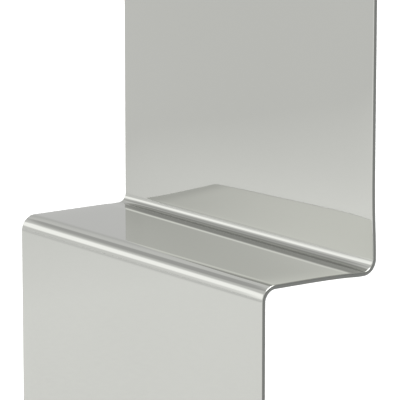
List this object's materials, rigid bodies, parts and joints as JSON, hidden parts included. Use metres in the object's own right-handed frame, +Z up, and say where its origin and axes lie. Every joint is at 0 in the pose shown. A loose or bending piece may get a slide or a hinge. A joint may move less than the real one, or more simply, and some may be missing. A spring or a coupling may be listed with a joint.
{
  "type": "wave slide",
  "caption": "Playground wave slide: folded mirror-polished steel steps, a railed platform and an undulating chute with side plates and tubular rails on posts.",
  "frame": {"origin": "on the ground, at the middle of the anchor line in the foot flange of the steps, half way across", "axes": "+Y from the steps towards the chute's exit, +X to the right of a child who climbs the steps, +Z up"},
  "size_m": [0.5536, 2.9621, 1.6518],
  "materials": {
    "polished_steel": "mirror-polished stainless steel",
    "satin_steel": "satin stainless steel",
    "zinc_steel": "plain stainless fasteners",
    "rubber_pad": "matt EPDM",
    "black_plastic": "moulded plug"
  },
  "bodies": {
    "root": {"step_plate": "polished_steel", "bearer_left": "satin_steel", "bearer_right": "satin_steel", "cross_bearer_front": "satin_steel", "cross_bearer_rear": "satin_steel", "leg_left": "satin_steel", "leg_right": "satin_steel", "leg_foot_left": "satin_steel", "leg_foot_right": "satin_steel", "leg_tie": "satin_steel", "brace_left": "satin_steel", "brace_right": "satin_steel", "hoop_left": "polished_steel", "hoop_right": "polished_steel", "guard_left": "polished_steel", "guard_right": "polished_steel", "post_clamp_front_left": "satin_steel", "post_clamp_front_right": "satin_steel", "post_clamp_rear_left": "satin_steel", "post_clamp_rear_right": "satin_steel", "entry_bar": "polished_steel", "entry_socket_left": "polished_steel", "entry_socket_right": "polished_steel", "bed_start": "polished_steel", "bed_wave": "polished_steel", "bed_runout": "polished_steel", "cheek_start_left": "polished_steel", "cheek_start_right": "polished_steel", "cheek_wave_left": "polished_steel", "cheek_wave_right": "polished_steel", "cheek_runout_left": "polished_steel", "cheek_runout_right": "polished_steel", "top_rail_left": "polished_steel", "top_rail_right": "polished_steel", "rail_collar_left": "satin_steel", "rail_collar_right": "satin_steel", "flange_start": "satin_steel", "flange_wave_top": "satin_steel", "flange_wave_bottom": "satin_steel", "flange_runout": "satin_steel", "upper_post": "satin_steel", "lower_post": "satin_steel", "exit_post": "satin_steel", "upper_foot": "satin_steel", "lower_foot": "satin_steel", "exit_foot": "satin_steel", "chute_pads": "rubber_pad", "tube_caps": "black_plastic", "weld_studs": "zinc_steel", "joint_bolts": "zinc_steel", "frame_bolts": "zinc_steel"}
  },
  "joints": []
}
